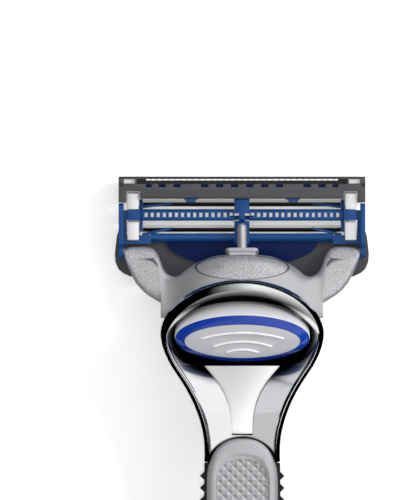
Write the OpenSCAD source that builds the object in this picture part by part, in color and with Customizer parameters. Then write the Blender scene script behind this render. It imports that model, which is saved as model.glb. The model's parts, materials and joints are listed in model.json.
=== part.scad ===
// Cartridge razor lying on its face: X across the blades, Y along the handle
// toward the head, Z up from the table. Each module below is one sub-part.

/* [Cartridge] */
// width over the cartridge frame
cartridge_width = 42; // [40:0.5:44]
// slots in each half of the guard comb
comb_slots = 15; // [11:1:15]
// width of one comb slot
comb_slot_width = 0.55; // [0.4:0.05:0.65]
// tilt of the blades against the shaving face, degrees
blade_tilt = 24; // [20:1:26]
// thickness of a blade strip
blade_thickness = 0.1; // [0.08:0.01:0.14]

/* [Pivot] */
// full swing of the cartridge, degrees
pivot_swing = 40; // [30:1:40]
// plunger stroke for each degree of swing
plunger_rate = 0.082; // [0.07:0.001:0.09]
// radius of the pivot pins
pin_radius = 0.5; // [0.4:0.05:0.55]

/* [Handle] */
// pivot axis to the end of the handle
handle_length = 132; // [120:1:145]
// half width of the grip behind the finger pad
grip_half_width = 6.5; // [6:0.1:7]
// spacing of the side fins
fin_pitch = 2.04; // [1.9:0.02:2.3]
// how far a side fin stands out
fin_height = 0.75; // [0.4:0.05:0.9]

/* [Release button] */
// forward travel of the release button
eject_travel = 0.8; // [0.6:0.05:0.8]
// tilt of the button toward the tail, degrees
button_tilt = 22; // [20:1:24]

/* [Fits] */
// radial running clearance of pins and plunger
running_clearance = 0.06; // [0.03:0.01:0.09]
// gap between pieces that are fitted together
seat_gap = 0.04; // [0.02:0.01:0.06]
// gap around pieces that slide past each other
slide_gap = 0.15; // [0.1:0.01:0.2]

/* [Hidden] */
$fn = 48;
dock = 20;                       // docking axis below horizontal, degrees
kx = cartridge_width / 42;       // stretch of everything that follows the cartridge's width
pivot = [0.1, 3.6];              // y, z of the pivot axis
plunger_r = 0.85;
tip = [4.1, 4.4];                // y, z of the plunger tip's centre at rest
head_end = 12.85;                // y of the cap's front edge
origin_y = (handle_length - head_end) / 2;
floor_z = 13.2;                  // floor under the release button
base_y = -11.35;                 // step that the yoke's rear face meets
core = [4.6, 2.05];              // half width and half height of the docking core
core_at = 8;                     // its front, measured back along the axis
core_end = -12.8;                // y where the core and its pocket are cut off

// cartridge: y runs from the guard to the cap, z from the shaving face to the back
half = cartridge_width / 2;
rail = [half - 0.8, half];       // inner and outer face of an end rail
ear_r = pin_radius + running_clearance + 0.6;
strut = 1.28;                    // half width of the centre strut
back_z = 2.05;                   // underside of the strut
comb = [5.36, 7.3];              // y of the guard comb's edges
block_x = 17.36 * kx;            // inner face of the end blocks
comb_end = block_x - seat_gap;
cap_y = 9.1;                     // the cap's edge over the upper blade
cap_z = [0.6, 5.3];              // bottom of the cap and underside of its back plate
slot = [11.57, 0.83];            // y and width of the trimmer slot
blade_edges = [3.45, 7.8];       // y of the two cutting edges
blade_z = 0.12;                  // height of a cutting edge
blade_half = 16.9 * kx;
blade_length = 1.2;
support_top = 1.86;
support_t = 0.18;
clip_x = [17.58 * kx, 17.58 * kx + 1.95];
clip_y = [2.0, 10.2];            // outer faces of a clip's two legs
clip_t = 0.25;
clip_z = [4.3, 5.35];            // tops of the lower and the upper leg
strip = [9.7, 12.0];             // y of the lubricating strip's edges
strip_half = 17 * kx;
strip_top = 1.2;

// ---------- curves ----------
function seg(t, x, i = 0) = i >= len(t) - 2 || x < t[i + 1][0] ? i : seg(t, x, i + 1);
function rise(t, i) = let(a = max(i - 1, 0), b = min(i + 1, len(t) - 1))
    (t[b][1] - t[a][1]) / (t[b][0] - t[a][0]);
function curve(t, x) = let(n = len(t), v = min(max(x, t[0][0]), t[n - 1][0]),
    i = seg(t, v), h = t[i + 1][0] - t[i][0], u = (v - t[i][0]) / h,
    m0 = rise(t, i) * h, m1 = rise(t, i + 1) * h)
    (2 * u * u * u - 3 * u * u + 1) * t[i][1] + (u * u * u - 2 * u * u + u) * m0
    + (3 * u * u - 2 * u * u * u) * t[i + 1][1] + (u * u * u - u * u) * m1;
function sg(v, e) = sign(v) * pow(abs(v), e);

// ---------- solids ----------
// closed skin through equal rings of points, capped at both ends
module loft(r) {
    n = len(r[0]);
    m = len(r);
    polyhedron(points = [for (q = r) each q], convexity = 6, faces = concat(
        [for (i = [0:m - 2], j = [0:n - 1]) let(a = i * n + j, b = i * n + (j + 1) % n)
            each [[a, a + n, b], [b, a + n, b + n]]],
        [for (k = [0:n / 2 - 2]) each [[k, k + 1, n - 1 - k], [k + 1, n - 2 - k, n - 1 - k]]],
        [for (k = [0:n / 2 - 2]) let(o = (m - 1) * n)
            each [[o + k, o + n - 1 - k, o + k + 1], [o + k + 1, o + n - 1 - k, o + n - 2 - k]]]));
}
// a profile in the Y-Z plane, extruded across X from a to b
module across(a, b, pts) {
    translate([a, 0, 0]) rotate([90, 0, 90]) linear_extrude(b - a) polygon(pts);
}
module both() { children(); mirror([1, 0, 0]) children(); }
module placed() { translate([0, origin_y, 0]) children(); }
// a frame whose Z axis runs back along the docking axis from the plunger tip
module on_axis(d = 0) {
    translate([0, tip[0] - d * cos(dock), tip[1] + d * sin(dock)]) rotate([90 - dock, 0, 0]) children();
}
// round wire wound about Z
module coil(r, wire, turns, height) {
    n = 12 * turns;
    loft([for (i = [0:n]) let(a = 360 * i / 12, z = wire + (height - 2 * wire) * i / n)
        [for (j = [0:5]) [(r + wire * cos(60 * j)) * cos(a), (r + wire * cos(60 * j)) * sin(a),
            z + wire * sin(60 * j)]]]);
}

// ---------- cartridge ----------
// centre of the plunger tip seen from the cartridge, relative to the pivot
function tip_path(q) = let(s = plunger_rate * q,
    y = tip[0] - pivot[0] - s * cos(dock), z = tip[1] - pivot[1] + s * sin(dock))
    [y * cos(q) + z * sin(q), -y * sin(q) + z * cos(q)];
function cam(q) = let(a = tip_path(q - 0.5), b = tip_path(q + 0.5), d = b - a, l = norm(d),
    c = plunger_r + running_clearance)
    pivot + tip_path(q) + [-d[1], d[0]] * (c / l) * (d[0] < 0 ? 1 : -1);

module end_rail() difference() {
    across(rail[0], rail[1], [[8.3, 2], [8.3, 5.2], [7.9, 5.5], [1.4, 5.5], [0.6, pivot[1] + ear_r],
        for (a = [100:10:260]) pivot + ear_r * [cos(a), sin(a)], [0.7, 2]]);
    translate([rail[0] - 1, pivot[0], pivot[1]]) rotate([0, 90, 0])
        cylinder(r = pin_radius + running_clearance, h = 3);
}
// blocks between the rail and the blades, with the shoe that the blade ends bear on
module end_block() difference() {
    to_rail = rail[0] + 0.1;
    union() {
        across(block_x, to_rail, [[5.45, 1.9], [7.15, 1.9], [7.15, 4.2], [5.45, 4.2]]);
        across(block_x, block_x + 2.05, [[5.45, 4.1], [7.15, 4.1], [7.15, 5.1], [5.45, 5.1]]);
        across(15.5 * kx, to_rail, [[1.38, 1.9], [2.88, 1.9], [2.88, 3.45], [1.38, 3.45]]);
        across(19.68 * kx, to_rail, [[2.8, 1.9], [5.5, 1.9], [5.5, 3.45], [2.8, 3.45]]);
        across(blade_half + seat_gap, block_x + 0.1, [[blade_edges[0], 0.6], [cap_y - 0.1, 0.6],
            [cap_y - 0.1, 2.35], [blade_edges[0], 2.35]]);
    }
    // slot for the clip's lower leg
    across(clip_x[0] - seat_gap, clip_x[1] + seat_gap, [[clip_y[0] - seat_gap, 0], [clip_y[0] + 0.3, 0],
        [clip_y[0] + 0.3, 5], [clip_y[0] - seat_gap, 5]]);
}
// two fingers that press on the blade supports
module sprung_fingers() translate([0, 0, support_top + seat_gap]) linear_extrude(0.5) {
    polygon([[11.9 * kx, 8.15], [17.4 * kx, 7.4], [18 * kx, 7], [18 * kx, 7.95], [17.4 * kx, 7.9],
        [11.9 * kx, 8.5]]);
    polygon([[11.9 * kx, 3.9], [15.9 * kx, 2.95], [15.9 * kx, 2.7], [17 * kx, 2.7], [17 * kx, 3.2],
        [11.9 * kx, 4.25]]);
}
module guard_bar() across(-15.6 * kx, 15.6 * kx, [[1.7, 1.55], [3.18, 1.55], [3.18, 3], [2.95, 3.25],
    [2.3, 3.3], [1.85, 2.9], [1.7, 2.4]]);
// shallow bowl behind the guard bar, a round one stretched across
module scoop() translate([0, 0, 1.55]) linear_extrude(0.5) scale([3 * kx, 1]) intersection() {
    translate([0, 1.75]) circle(4.3, $fn = 96);
    translate([-5, -2.55]) square([10, 4.35]);
}
// strut with the cam that the plunger bears on, the tongue through the comb and the trimmer's web
module centre_strut() {
    across(-strut, strut, [[1.8, back_z], [4.9, back_z], [4.9, 3.1], cam(0) + [0.75, 0.05],
        for (q = [0:2:pivot_swing]) cam(q), [1.8, 3.1]]);
    across(-0.47, 0.47, [[4.7, back_z], [6.8, back_z], [6.8, 4.9], [5.6, 4.9], [5.1, 3.6], [4.7, 3.1]]);
    across(-strut, strut, [[6.6, back_z], [9, back_z], [9, 5.2], [6.6, 4.9]]);
    across(-strut, strut, [[8.9, 4.3], [10.9, 4.3], [10.9, 5.25], [8.9, 5.25]]);
}
// rib behind the trimmer
module trimmer_rib() across(-16.8 * kx, 16.8 * kx, [[10.7, 4.3], [11.5, 4.3], [11.5, 5.25], [10.7, 5.25]]);
// tab that laps over the cap's edge
module retaining_tab() {
    across(7.5 * kx, 7.5 * kx + 2.4, [[8.95, 4.3], [10.75, 4.3], [10.75, 5.25], [8.95, 5.25]]);
    translate([7.8 * kx, 0, 4.3]) linear_extrude(1.65)
        polygon([[0, 9.02], [1.9, 9.02], [1.65, 8.5], [0.25, 8.5]]);
}
module cartridge_frame() placed() color("#2055A0") {
    both() {
        end_rail();
        end_block();
        sprung_fingers();
        retaining_tab();
    }
    guard_bar();
    scoop();
    centre_strut();
    trimmer_rib();
}

module guard_comb() placed() color("#2055A0") {
    first = strut + 0.27;
    pitch = (comb_end - first - 0.2) / comb_slots;
    both() {
        difference() {
            across(strut + seat_gap, comb_end, [[comb[0], 2.5], [comb[1], 2.5], [comb[1], 3.7],
                [comb[1] - 0.25, 4], [comb[0] + 0.25, 4], [comb[0], 3.7]]);
            for (i = [0:comb_slots - 1])
                translate([first + pitch * i, comb[0] + 0.6, 2]) cube([comb_slot_width, 0.75, 3]);
        }
        // foot that joins the halves under the tongue
        across(-0.1, strut + 0.74, [[5.5, 1.3], [6.2, 1.3], [6.2, 2], [5.5, 2]]);
        across(strut + seat_gap, strut + 0.74, [[5.5, 1.3], [6.2, 1.3], [6.2, 2.7], [5.5, 2.7]]);
    }
}

module rear_cap() placed() color("#4C4C50") difference() {
    union() {
        // back plate, front wall and the land under the strip
        across(-half, half, [[cap_y, cap_z[1]], [cap_y, 5.95], [cap_y + 0.2, 6.15], [12.05, 6.2],
            [12.6, 5.95], [head_end, 5.4], [head_end, 1.3], [12.4, cap_z[0]], [cap_y + 0.1, cap_z[0]],
            [cap_y + 0.1, 1.9], [11.6, 1.9], [11.6, cap_z[1]]]);
        // end walls
        both() across(half - 1.3, half, [[8.45, 5.6], [8.45, 6], [cap_y + 0.2, 6.15], [11.9, 6.1],
            [head_end - 0.1, 5], [head_end - 0.1, 1.4], [12.4, cap_z[0]], [8.45, cap_z[0]]]);
    }
    // trimmer slot, cut down from the back
    across(-17.9 * kx, 17.9 * kx, [[slot[0], 2.6], [slot[0] + slot[1] + seat_gap, 2.6],
        [slot[0] + slot[1] + seat_gap, 8], [slot[0], 8]]);
    // comb notches along the slot
    for (x = [1.28, 3.83, 6.35, 11.06, 13.6, 16]) both()
        translate([x * kx - 0.62, slot[0] - 0.54, 5]) cube([x > 15 ? 1 : 1.24, 0.7, 2]);
    // pockets for the retaining clips
    both() translate([block_x, 8.3, 0]) cube([2.4, 2.1, 7]);
    // recess for the lubricating strip
    across(-strip_half, strip_half,
        [[strip[0], 0], [strip[1], 0], [strip[1], strip_top], [strip[0], strip_top]]);
    // round recess and shallow ledge at the outer end of the slot
    both() {
        translate([20.6 * kx, 11.4, 5.6]) cylinder(r = 0.35, h = 2);
        translate([18.2 * kx, slot[0] + 0.1, 5.85]) cube([1.9, slot[1] - 0.1, 1]);
    }
}

module cap_strip() placed() color("#CFE0E8") across(seat_gap - strip_half, strip_half - seat_gap,
    [[strip[0] + seat_gap, strip_top - seat_gap], [strip[1] - seat_gap, strip_top - seat_gap],
    [strip[1] - seat_gap, 0.55], [strip[1] - 0.4, 0.3], [strip[0] + 0.5, 0.3], [strip[0] + seat_gap, 0.55]]);

// half outline of the soft guard, whose wings stand out past the rails
wing = [[12, -4.9], [19.06, -4.17], [20.3, -3.6], [21.1, -2.9], [21.6, -1.7], [21.7, -0.4], [21.6, 0.68],
    [21.36, 2.72], [20.93, 4.08], [20.1, 4.08], [20.1, clip_y[0] - 0.1]];
module guard_elastomer() placed() color("#4A4B4E") difference() {
    linear_extrude(1.5) polygon([for (m = [1, -1]) for (k = [0:len(wing) - 1])
        let(p = wing[m > 0 ? k : len(wing) - 1 - k]) [m * p[0] * kx, p[1]]]);
    // grooves between the fins of the shaving face
    for (i = [0:5]) translate([-18.5 * kx, -3.7 + 0.75 * i, -1]) cube([37 * kx, 0.35, 1.6]);
}

// strip in a blade's own plane: from distance a to b behind the edge at y0, o above the blade's underside
module blade_plane(y0, a, b, o, t) {
    translate([-blade_half, y0, blade_z]) rotate([blade_tilt, 0, 0]) translate([0, a, o])
        cube([2 * blade_half, b - a, t]);
}
module support(y0) {
    // slanted foot on the blade and the upright at its rear
    foot = [0.15, 0.75];
    y1 = y0 + foot[1] * cos(blade_tilt);
    z1 = blade_z + foot[1] * sin(blade_tilt) + blade_thickness;
    blade_plane(y0, foot[0], foot[1], blade_thickness + seat_gap, support_t);
    across(-blade_half, blade_half, [[y1 - 0.22, z1 - 0.02], [y1, z1 + 0.08], [y1, support_top],
        [y1 - 0.22, support_top]]);
}
module upper_blade() placed() color("#C8CACC")
    blade_plane(blade_edges[1], 0, blade_length, 0, blade_thickness);
module lower_blade() placed() color("#C8CACC")
    blade_plane(blade_edges[0], 0, blade_length, 0, blade_thickness);
module upper_blade_support() placed() color("#1C1C1E") support(blade_edges[1]);
module lower_blade_support() placed() color("#1C1C1E") support(blade_edges[0]);
module trimmer_blade() placed() color("#D8D9DA") difference() {
    y1 = slot[0] + slot[1];
    across(-16.3 * kx, 16.3 * kx, [[y1 - 0.2, 2.65], [y1, 2.65], [y1, 6.15], [y1 - 0.2, 6.15]]);
    // teeth
    for (i = [-15:15]) translate([i * 1.04 * kx - 0.2, y1 - 0.4, 5.75]) cube([0.4, 0.6, 1]);
}

// thin band around the end of the cartridge, its ends bent over the back
module clip_body() across(clip_x[0], clip_x[1], [[clip_y[0] + 0.1, 0],
    [clip_y[1] - 0.25, 0], [clip_y[1], 0.25],
    [clip_y[1], clip_z[1] - clip_t], [clip_y[1] - 0.25, clip_z[1]], [7.3, clip_z[1]],
    [7.3, clip_z[1] - clip_t], [clip_y[1] - clip_t, clip_z[1] - clip_t], [clip_y[1] - clip_t, clip_t],
    [clip_y[0] + clip_t, clip_t], [clip_y[0] + clip_t, clip_z[0] - clip_t], [5.15, clip_z[0] - clip_t],
    [5.15, clip_z[0]], [clip_y[0] + 0.15, clip_z[0]], [clip_y[0], clip_z[0] - 0.15], [clip_y[0], 0.1]]);
module clip_right() placed() color("#C9CBCE") clip_body();
module clip_left() placed() color("#C9CBCE") mirror([1, 0, 0]) clip_body();

// ---------- yoke ----------
// tables over the distance from the middle: y of both edges, rise over the docking axis and half depth
front_edge = [[0, -0.3], [4.8, -0.68], [6.5, -1.28], [8.2, -2.04], [9.5, -2.9], [10.6, -3.85],
    [11.3, -4.15],
    [12.4, -3.9], [13.3, -3.0], [13.8, -1.7], [14.2, -0.6], [14.9, 0.4], [16.0, 0.88],
    [18.7, 0.88], [19.6, 0.75], [20.0, 0.4]];
rear_edge = [[13.81, -8.7], [15.0, -8.0], [16.7, -6.8], [18.2, -5.1], [19.2, -3.06], [19.9, -1.36],
    [20.0, -0.9]];
lift = [[0, 2.26], [4, 2.1], [8, 1.25], [11, 0.4], [13.5, 0], [20, 0]];
half_depth = [[0, 3.4], [4, 3.35], [8, 2.8], [11, 1.8], [13.5, 1.25], [16, 1.1], [20, 1.0]];
dome_half = 13.8;                // the dome inside this half width, an arm outside it
dome_rear = -11.2;
function yoke_ring(x) = let(a = abs(x) / kx, dome = a < dome_half,
    f = curve(front_edge, a), r = dome ? dome_rear : curve(rear_edge, a),
    m = (f + r) / 2, l = (f - r) / 2, h = curve(half_depth, a), k = dome ? 0.55 : 0.8)
    [for (j = [0:27]) let(p = 360 / 28 * (j + 0.5), y = m + l * sg(cos(p), k),
        taper = dome ? 1 - 0.28 * min(1, max(0, y / dome_rear)) : 1)
        [x, y, pivot[1] + (pivot[0] - y) * tan(dock) + curve(lift, a) + h * taper * sg(sin(p), 0.8)]];
dome_x = [0, 1.2, 2.4, 3.6, 4.8, 5.9, 7, 8, 9, 9.8, 10.4, 10.9, 11.4, 12, 12.8, 13.4, 13.79];
arm_x = [13.4, 13.81, 14.2, 14.6, 15.1, 15.7, 16.4, 17.2, 18, 18.8, 19.4, 19.8, 20];

module yoke() placed() color("#A4A5A7") difference() {
    union() {
        loft([for (i = [len(dome_x) - 1:-1:1]) yoke_ring(-dome_x[i] * kx),
            for (x = dome_x) yoke_ring(x * kx)]);
        both() loft([for (x = arm_x) yoke_ring(x * kx)]);
        // collar that the plunger comes out of: a flange on a narrower neck
        for (c = [[0.8, 0.55], [0.4, 1.2]])
            on_axis(4.15) linear_extrude(c[1]) offset(c[0]) square([4.0, 1.5], center = true);
        // pivot pins
        both() translate([18.6 * kx, pivot[0], pivot[1]]) rotate([0, 90, 0])
            cylinder(r = pin_radius, h = rail[1] - 0.15 - 18.6 * kx);
    }
    // bore for the plunger and the pocket for the docking core
    on_axis(3) cylinder(r = plunger_r + running_clearance, h = 8);
    on_axis(core_at - slide_gap) translate([-core[0] - slide_gap, -core[1] - slide_gap, 0])
        cube([2 * (core[0] + slide_gap), 2 * (core[1] + slide_gap), 14]);
    translate([-core[0] - slide_gap, -12, 11]) cube([2 * (core[0] + slide_gap), 2.6, 3]);
    // flat that passes under the button floor
    translate([-20, -20, 12.18]) cube([40, 22, 6]);
    across(-20, 20, [[-12, 14], [-12, 12.1], [-8.64, 12.16], [-4.6, 10.69], [-4.4, 10.9], [-4.4, 14]]);
}

// ---------- plunger and docking core ----------
module plunger() placed() color("#B8BABD") {
    on_axis(0) { sphere(plunger_r); cylinder(r = plunger_r, h = 9.4); }
    on_axis(9.06) cylinder(r = 1.4, h = 0.6);
}
module docking_core() placed() color("#3A3B3D") difference() {
    intersection() {
        on_axis(core_at) translate([-core[0], -core[1], 0]) cube([2 * core[0], 2 * core[1], 12.5]);
        translate([-10, core_end, 0]) cube([20, 20, 12.15]);
    }
    on_axis(0) cylinder(r = plunger_r + running_clearance, h = 14);
    on_axis(9.0) cylinder(r = 1.55, h = 6.6);
    // guide grooves in both sides
    both() on_axis(core_at - 1) translate([core[0] - 0.5, -0.5, 0]) cube([2, 1.0, 9]);
}
module plunger_spring() placed() color("#B9BBBE") on_axis(9.7) coil(1.15, 0.16, 5.5, 5.85);

// ---------- handle ----------
// outline of the hoop and legs: half width at each distance from the nose
nose = -4.6;
hoop = [for (a = [0:6:84]) [13.78 * sin(a), -13.6 + 9.0 * pow(cos(a), 1.12)],
    [13.8, -13.7], [13.74, -14.6], [13.5, -15.8], [13.1, -17.0], [12.55, -18.2], [11.9, -19.4], [11.1, -20.6],
    [10.3, -21.8], [9.55, -23.0], [8.9, -24.2], [8.3, -25.4], [7.8, -26.6], [7.35, -27.8], [7.0, -29.0],
    [6.7, -30.2],
    [6.5, -31.4], [6.38, -32.8], [6.35, -34.4], [6.4, -35.4]];
step_y = -35.7;
tail_y = -handle_length + 8;
tail_half = 5;                   // half width and height of the tail cap
tail_top = 7.6;
// tables along y: half width, top, underside, width of the rim and depth of the dish inside it
width_at = [[-handle_length, 4.6], [tail_y, tail_half], [-110, 5.9], [-90, 6.3], [-72, 6.55],
    [-56, grip_half_width], [-42, grip_half_width - 0.05], [-35, 6.4]];
top_at = [[-handle_length, 6.8], [tail_y, tail_top], [-112, 10.6], [-98, 13.2], [-84, 15.2], [-70, 16.2],
    [-58, 16.4], [-36, 16.3], [-26, 16.5], [-18, 16.7], [-12, 16.3], [-8, 15.9], [nose, 15.6]];
under_at = [[-handle_length, 0], [tail_y, 0], [-118, 0.75], [-106, 2.6], [-90, 5.0], [-74, 6.6], [-58, 7.3],
    [-36, 7.4], [-20, 6.8], [nose, 6.8]];
rim_at = [[-40, 0.8], [-26, 0.85], [-18, 0.8], [-14, 1.0], [-12, 1.6], [-9, 2.3], [nose, 2.7]];
dish_at = [[-34, 0.25], [-29, 0.3], [-27, 0.6], [-25, 1.2], [-23, 2.0], [-21, 2.8], [-19, 3.3], [-17, 3.5]];
skin = 1.3;                      // thickness of the grip sleeve
sleeve_gap = 0.1;                // gap between the sleeve and the metal under it
step_back = 0.02;                // the grip's first ring behind the step
grip_y = [step_y - step_back, for (y = [-38:-4:tail_y + 2]) y, tail_y];
// each ring of the handle stands on one point of this outline and runs inward along `inward`
outline = concat([[0.25, nose - 0.001]], [for (i = [1:len(hoop) - 1]) hoop[i]],
    [for (y = grip_y) [curve(width_at, y), y]]);
function inward(i) = let(n = len(outline), a = outline[max(i - 1, 0)], b = outline[min(i + 1, n - 1)],
    d = b - a, l = norm(d)) i == 0 ? [0, -1] : [d[1], -d[0]] / l;
function handle_ring(i) = let(p = outline[i], v = inward(i), y = p[1], grip = y < step_y,
    zt = curve(top_at, y), zb = curve(under_at, y) + (grip ? skin : 0), s = grip ? skin : 0,
    w = curve(rim_at, y),
    front = min(1, max(0, (y + 16) / 3)),
    zd = y > -18 ? floor_z : zt - curve(dish_at, y), dz = max(0.3, zt - zd),
    lv = [[s + 1.5, zb], [s + 0.5, zb + 0.5], [s, zb + 1.7], [s, zt - (grip ? 1.9 : 2.0 + 0.2 * front)],
        [s + w * 0.25, zt - 1.0], [s + w * 0.7, zt - 0.22], [s + w, zt], [s + w + 0.18, zt - 0.12],
        [s + w + 0.3 - front * 1.05, zt - dz]],
    r = [for (q = lv) let(e = p + v * q[0]) [max(e[0], 0.02), e[1], q[1]]])
    concat(r, [for (k = [len(r) - 1:-1:0]) [-r[k][0], r[k][1], r[k][2]]]);

module v_opening() {
    translate([0, 0, -5]) linear_extrude(40) both()
        polygon([[0, -19.25], [6.5, -19.25], [5.1, -20.9], [4.05, -22.3], [3.1, -23.9], [2.4, -25.6],
            [2.0, -27.3], [1.82, -29.2], [1.8, -30.9], [0, -30.9]]);
}
// finger pad: straight sides between two blunt round ends
pad_y = [-57.4, -31.4];          // its rear and front end
pad_half = grip_half_width - 0.5;
pad_end = 8;                     // length of a round end
pad_z = 14.9;                    // floor of its seat
// o widens the outline, cut shortens it at both ends
function pad_points(o = 0, cut = 0) = [for (a = [0:5:355])
    let(s = sin(a), e = (pad_end + o - cut) * sg(s, 0.83))
    [(pad_half + o) * sg(cos(a), 0.83), (s < 0 ? pad_y[0] + pad_end : pad_y[1] - pad_end) + e]];
module pad_outline(o = 0, cut = 0) polygon(pad_points(o, cut));
module handle_frame() placed() color("#D9DADC") difference() {
    loft([for (i = [0:len(outline) - 1]) handle_ring(i)]);
    // space for the yoke, and the pocket that holds the docking core
    across(-15, 15, [[-3, 5], [-3, 10.25], [-4.6, 10.83], [-8.64, 12.3], [base_y, 12.3], [base_y, 5]]);
    intersection() {
        on_axis(6) translate([-core[0] - seat_gap, -core[1] - seat_gap, 0])
            cube([2 * (core[0] + seat_gap), 2 * (core[1] + seat_gap), 15]);
        translate([-10, core_end - seat_gap, 0]) cube([20, 20, 12.3]);
    }
    v_opening();
    // slots for the two pushers and for the return spring
    both() translate([pusher_x[0], base_y - 4.4, pusher_z - slide_gap])
        cube([pusher_x[1] - pusher_x[0] + slide_gap, 6, floor_z + 0.05 - pusher_z + slide_gap]);
    translate([-1.75, lug_y - 0.4, 10.4]) cube([3.5, 5.2, 6]);
    // seats for the finger pad and the inlay
    translate([0, 0, pad_z]) linear_extrude(5) pad_outline(seat_gap);
    translate([0, 0, -0.9]) inlay_cut(seat_gap);
    // seat for the thumb pad on the underside
    translate([0, 0, -2]) linear_extrude(11.2) thumb_outline(seat_gap);
}

// ---------- release button ----------
skirt = [11.4, 4.36];            // half axes of the skirt's oval
// y and z of the middle of the skirt's top, set so that its front foot meets the floor at floor_at
floor_at = -8.34;
button_y = -14.5;
button = [button_y, floor_z + 0.1 - skirt[1] * sin(button_tilt)
    + (floor_at - button_y - skirt[1] * cos(button_tilt)) / tan(button_tilt)];
carrier_z = [floor_z + 0.06, floor_z + 0.96];
pusher_x = [8.3, 10.45];
pusher_z = 9.15;                 // underside of a pusher
pusher_y = base_y - eject_travel - slide_gap;
lug_y = -17.9;                   // rear face of the lug that the return spring bears on
pusher_inset = [0.05, 0.3];      // how far a pusher stays inside the carrier's side and top
function oval(a, b, z) = [for (j = [0:71]) [a * cos(5 * j), b * sin(5 * j), z]];
module on_button() { translate([0, button[0], button[1]]) rotate([button_tilt, 0, 0]) children(); }
module above(z) intersection() { children(); translate([-20, -40, z]) cube([40, 40, 30]); }
// plan of the carrier under the skirt
module carrier_plan(o = 0) {
    translate([0, -13.2]) scale([(9.6 + o) / (3.3 + o), 1]) circle(3.3 + o);
    translate([-pusher_x[1] - o, pusher_y - 2 - o]) square([2 * (pusher_x[1] + o), 2 + 2 * o]);
    translate([-1.5 - o, lug_y - o]) square([3 + 2 * o, 3]);
}

module ejector_slider() placed() color("#2E2F31") {
    translate([0, 0, carrier_z[0]]) linear_extrude(carrier_z[1] - carrier_z[0]) carrier_plan();
    both() translate([pusher_x[0] + slide_gap, pusher_y - 2, pusher_z])
        cube([pusher_x[1] - pusher_x[0] - slide_gap - pusher_inset[0], 2,
            carrier_z[1] - pusher_inset[1] - pusher_z]);
    translate([-1.5, lug_y, 10.7]) cube([3, 0.8, carrier_z[1] - 10.7]);
    on_button() translate([0, 0, -2.6]) cylinder(r = 2, h = 2.2);
}
module button_skirt() placed() color("#C6C8CA") difference() {
    above(floor_z + 0.1) on_button() loft([oval(skirt[0] + 0.05, skirt[1] + 0.06, -9),
        oval(skirt[0], skirt[1], -0.35), oval(skirt[0] - 0.15, skirt[1] - 0.16, 0)]);
    translate([0, 0, floor_z]) linear_extrude(carrier_z[1] + seat_gap - floor_z) carrier_plan(seat_gap);
    on_button() translate([0, 0, -6]) cylinder(r = 2 + seat_gap, h = 5.6 + seat_gap);
}
face = [9.75, 3.05];             // half axes of the face's seat in the band
module button_band() placed() color("#1F45A5") on_button() difference() {
    loft([oval(11.1, 4.05, seat_gap), oval(11.32, 4.22, 0.22), oval(11.1, 4.05, 0.5), oval(10.1, 3.33, 1.25),
        oval(face[0] + 0.2, face[1] + 0.15, 1.36)]);
    translate([0, 0, 0.6]) linear_extrude(2) scale(face) circle(1, $fn = 96);
}
module ridge(r, half, v) {
    // a low arc that bulges toward the head
    a = asin(half / r);
    translate([0, v - r, 1.42]) rotate([0, 0, 90 - a]) rotate_extrude(angle = 2 * a, $fn = 120)
        translate([r, 0]) circle(0.24, $fn = 24);
}
module button_face() placed() color("#B4B5B7") on_button() {
    translate([0, 0, 0.6 + seat_gap]) linear_extrude(0.82) scale([for (r = face) r - seat_gap])
        circle(1, $fn = 96);
    ridge(23.2, 7.0, 1.55);
    ridge(13.9, 5.0, -0.05);
    ridge(7.2, 2.7, -1.5);
}
module ejector_spring() placed() color("#B9BBBE")
    translate([0, -13.12, 11.9]) rotate([90, 0, 0]) coil(1.05, 0.15, 5, 3.95);

// ---------- grip ----------
pad_rise = 1.75;                 // thickness of the finger pad
hatch_z = 16.25;                 // floor of its recess
hatch_pitch = 1.7;               // spacing of the crosshatch lines along the handle
hatch = [0.95, 0.3];             // width and depth of a crosshatch groove
// inset and height of the pad's rounded rim
pad_rim = [[0, 0], [0, 0.95], [0.1, 1.25], [0.32, 1.5], [0.68, 1.67], [1.1, pad_rise]];
module finger_pad() placed() color("#B2B3B5") difference() {
    loft([for (q = pad_rim) [for (p = pad_points(-q[0])) [p[0], p[1], pad_z + 0.05 + q[1]]]]);
    translate([0, 0, hatch_z]) linear_extrude(2) pad_outline(-1.35, 1.3);
    // crosshatch
    intersection() {
        translate([0, 0, pad_z]) linear_extrude(3) pad_outline(-1.55, 2);
        for (k = [-1, 1]) for (i = [-17:17])
            translate([0, (pad_y[0] + pad_y[1]) / 2 + i * hatch_pitch, hatch_z]) rotate([0, 0, 45 * k])
                across(-20, 20, [[-hatch[0] / 2, 0], [0, -hatch[1]], [hatch[0] / 2, 0], [0, hatch[1]]]);
    }
}
thumb = [3.7, 11.5];             // half axes of the thumb pad
thumb_y = -48;
module thumb_outline(o = 0) {
    polygon([for (a = [0:10:350]) [(thumb[0] + o) * cos(a), thumb_y + (thumb[1] + o) * sin(a)]]);
}
module thumb_pad() placed() color("#26272A") difference() {
    translate([0, 0, 6.5]) linear_extrude(2.6) thumb_outline();
    for (i = [-4:4]) translate([-6, thumb_y + i * 2.2 - 0.35, 6]) cube([12, 0.7, 0.9]);
}
// strip along the top of the handle, at a constant depth
inlay = [-60, -112];
module inlay_body(o, low, high) loft([for (y = [inlay[0] + o, for (q = [-66:-6:-108]) q, inlay[1] - o])
    let(z = curve(top_at, y), w = 2.1 - abs((y + 86) / 26) * 0.5 + o)
    [[w, y, z + low], [w, y, z + high], [-w, y, z + high], [-w, y, z + low]]]);
module inlay_cut(o = 0) inlay_body(o, -0.2, 1.3 + o);
module spine_inlay() placed() color("#8F9194") inlay_body(0, -1.05, -0.05);

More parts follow.
